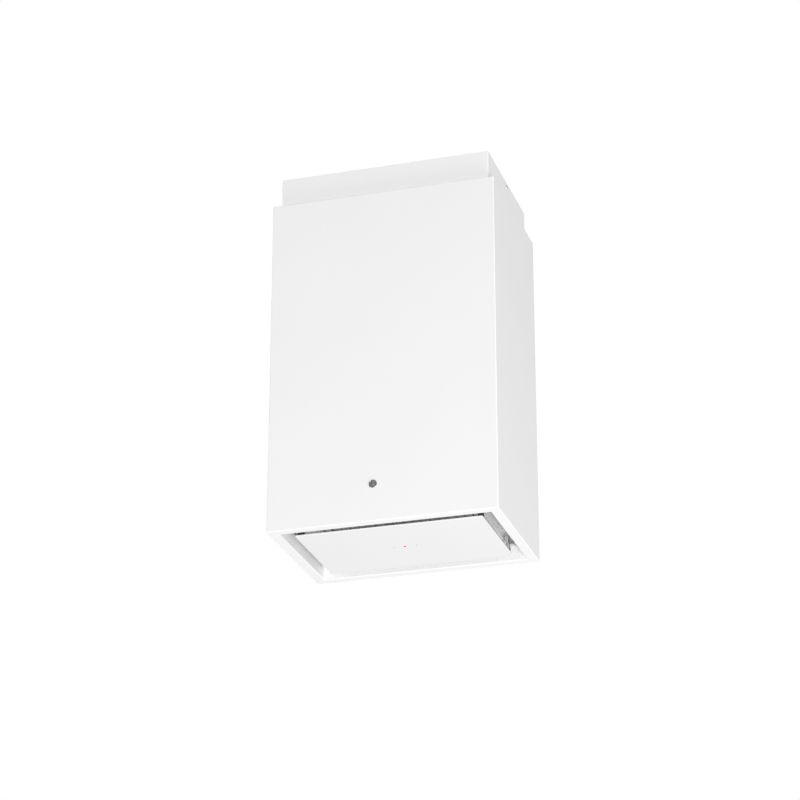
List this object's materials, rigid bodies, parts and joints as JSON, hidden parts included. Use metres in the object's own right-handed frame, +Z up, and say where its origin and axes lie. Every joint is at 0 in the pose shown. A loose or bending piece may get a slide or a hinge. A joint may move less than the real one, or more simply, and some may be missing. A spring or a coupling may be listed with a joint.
{
  "type": "island range hood",
  "caption": "White painted box hood hanging from a ceiling sleeve, with a hinged perimeter suction panel, grease filters and blower inside.",
  "frame": {"origin": "on the ceiling, at the centre of the ceiling plate, which holds the hood up", "axes": "+Z up, front of the hood towards -Y, +X to the right seen from the front"},
  "size_m": [0.5, 0.3415, 0.83],
  "materials": {
    "white_paint": "smooth satin powder coat",
    "galvanised": "galvanised sheet",
    "stainless": "brushed stainless",
    "zinc_screw": "zinc plated",
    "black_plastic": "fine moulded texture",
    "grey_plastic": "fine moulded texture",
    "motor_cast": "die cast",
    "cable_pvc": "cable sheath",
    "red_lens": "clear red lens",
    "smoked_lens": "smoked lens",
    "steel_pin": "ground steel"
  },
  "bodies": {
    "ceiling_group": {"ceiling_plate": "galvanised", "sleeve": "white_paint", "sleeve_screw_left": "zinc_screw", "sleeve_screw_right": "zinc_screw", "upper_leg_front_left": "galvanised", "upper_leg_front_right": "galvanised", "upper_leg_back_left": "galvanised", "upper_leg_back_right": "galvanised"},
    "hood": {"casing": "white_paint", "sleeve_guide": "black_plastic", "chassis_deck": "galvanised", "grease_filter_left": "stainless", "grease_filter_right": "stainless", "filter_ledge": "galvanised", "filter_keeper": "galvanised", "motor_box_left": "galvanised", "motor_box_right": "galvanised", "motor_box_front": "galvanised", "motor_box_back": "galvanised", "motor_box_top": "galvanised", "blower_shell_left": "grey_plastic", "blower_shell_right": "grey_plastic", "motor": "motor_cast", "motor_bracket": "galvanised", "capacitor": "grey_plastic", "outlet_collar": "black_plastic", "damper_axle": "steel_pin", "control_box": "black_plastic", "control_box_lid": "black_plastic", "cable_gland": "grey_plastic", "terminal_block": "grey_plastic", "motor_cable": "cable_pvc", "hinge_bracket_left": "stainless", "hinge_bracket_right": "stainless", "hinge_pin_left": "steel_pin", "hinge_pin_right": "steel_pin", "panel_catch_left": "black_plastic", "panel_catch_right": "black_plastic", "badge": "stainless", "lower_leg_front_left": "galvanised", "lower_leg_front_right": "galvanised", "lower_leg_back_left": "galvanised", "lower_leg_back_right": "galvanised"},
    "fan_wheel": {"impeller": "galvanised", "motor_shaft": "steel_pin"},
    "flap_left": {"damper_flap_left": "black_plastic"},
    "flap_right": {"damper_flap_right": "black_plastic"},
    "latch_left": {"filter_latch_left": "stainless"},
    "latch_right": {"filter_latch_right": "stainless"},
    "panel": {"suction_panel": "white_paint", "panel_stiffener_front": "galvanised", "panel_stiffener_back": "galvanised", "sensor_module": "black_plastic", "status_lens": "red_lens", "sensor_lens_left": "smoked_lens", "sensor_lens_right": "smoked_lens", "hinge_leaf_left": "stainless", "hinge_leaf_right": "stainless"}
  },
  "joints": [
    {"name": "height_adjust", "type": "slide", "parent": "ceiling_group", "child": "hood", "axis": [0, 0, -1], "range_m": [0, 0.3]},
    {"name": "panel_swing", "type": "hinge", "parent": "hood", "child": "panel", "pos_m": [0, 0.1125, -0.816], "axis": [1, 0, 0], "range_deg": [0, 88]},
    {"name": "fan_spin", "type": "hinge", "parent": "hood", "child": "fan_wheel", "pos_m": [0, 0.039, -0.68], "axis": [1, 0, 0], "continuous": true},
    {"name": "damper_left", "type": "hinge", "parent": "hood", "child": "flap_left", "pos_m": [0, 0, -0.478], "axis": [0, 1, 0], "range_deg": [0, 75]},
    {"name": "damper_right", "type": "hinge", "parent": "hood", "child": "flap_right", "pos_m": [0, 0, -0.478], "axis": [0, -1, 0], "range_deg": [0, 75]},
    {"name": "filter_latch_left_slide", "type": "slide", "parent": "hood", "child": "latch_left", "axis": [0, 1, 0], "range_m": [0, 0.007], "stiffness_N_per_m": 150},
    {"name": "filter_latch_right_slide", "type": "slide", "parent": "hood", "child": "latch_right", "axis": [0, 1, 0], "range_m": [0, 0.007], "stiffness_N_per_m": 150}
  ]
}
